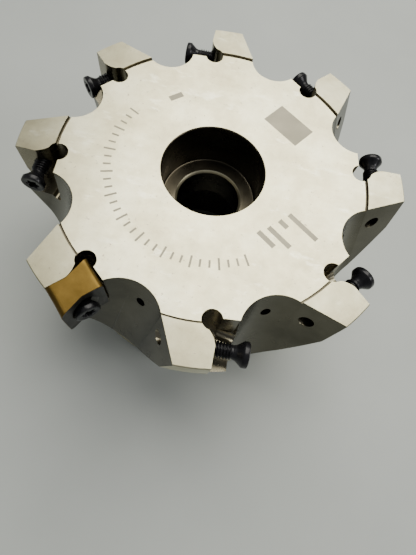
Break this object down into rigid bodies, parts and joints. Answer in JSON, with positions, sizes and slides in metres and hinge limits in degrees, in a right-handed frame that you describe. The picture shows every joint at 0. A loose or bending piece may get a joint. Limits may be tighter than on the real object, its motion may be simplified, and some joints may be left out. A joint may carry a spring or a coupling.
{
  "type": "face mill",
  "caption": "Shell-type face mill with insert pockets around its rim, one coated insert and its clamping screws, on a stepped arbor bore.",
  "frame": {"origin": "on the spindle axis, in the plane of the rear face on which the hub stands", "axes": "+Z along the spindle axis from the rear face to the cutting face; +X along the rear drive slot"},
  "size_m": [0.0977, 0.0978, 0.0509],
  "materials": {
    "satin_steel": "satin nickel-plated steel, glossy dark reflections in the gullets and bores",
    "gold_coating": "satin gold-coloured coating on the flanks, dark grey on the rake faces",
    "black_oxide": "semi-gloss black oxide"
  },
  "bodies": {
    "body": {"cutter_body": "satin_steel"},
    "insert": {"cutting_insert": "gold_coating"},
    "screw_1": {"clamp_screw_1": "black_oxide"},
    "screw_2": {"clamp_screw_2": "black_oxide"},
    "screw_3": {"clamp_screw_3": "black_oxide"},
    "screw_4": {"clamp_screw_4": "black_oxide"},
    "screw_5": {"clamp_screw_5": "black_oxide"},
    "screw_6": {"clamp_screw_6": "black_oxide"},
    "screw_7": {"clamp_screw_7": "black_oxide"},
    "screw_8": {"clamp_screw_8": "black_oxide"}
  },
  "joints": [
    {"name": "insert_off_seat", "type": "slide", "parent": "body", "child": "insert", "axis": [0.6858, -0.7278, 0], "range_m": [0, 0.012]},
    {"name": "screw_1_travel", "type": "slide", "parent": "insert", "child": "screw_1", "axis": [0.6858, -0.7278, 0], "range_m": [0, 0.003]},
    {"name": "screw_2_travel", "type": "slide", "parent": "body", "child": "screw_2", "axis": [0.9999, 0.0105, 0], "range_m": [-0.0041, 0.0031]},
    {"name": "screw_3_travel", "type": "slide", "parent": "body", "child": "screw_3", "axis": [0.6769, 0.7361, 0], "range_m": [-0.0034, 0.0038]},
    {"name": "screw_4_travel", "type": "slide", "parent": "body", "child": "screw_4", "axis": [-0.0523, 0.9986, 0], "range_m": [-0.0036, 0.0036]},
    {"name": "screw_5_travel", "type": "slide", "parent": "body", "child": "screw_5", "axis": [-0.7337, 0.6794, 0], "range_m": [-0.0026, 0.0046]},
    {"name": "screw_6_travel", "type": "slide", "parent": "body", "child": "screw_6", "axis": [-1, -0.007, 0], "range_m": [-0.0035, 0.0037]},
    {"name": "screw_7_travel", "type": "slide", "parent": "body", "child": "screw_7", "axis": [-0.7302, -0.6833, 0], "range_m": [-0.0024, 0.0048]},
    {"name": "screw_8_travel", "type": "slide", "parent": "body", "child": "screw_8", "axis": [-0.0471, -0.9989, 0], "range_m": [-0.0025, 0.0047]}
  ]
}
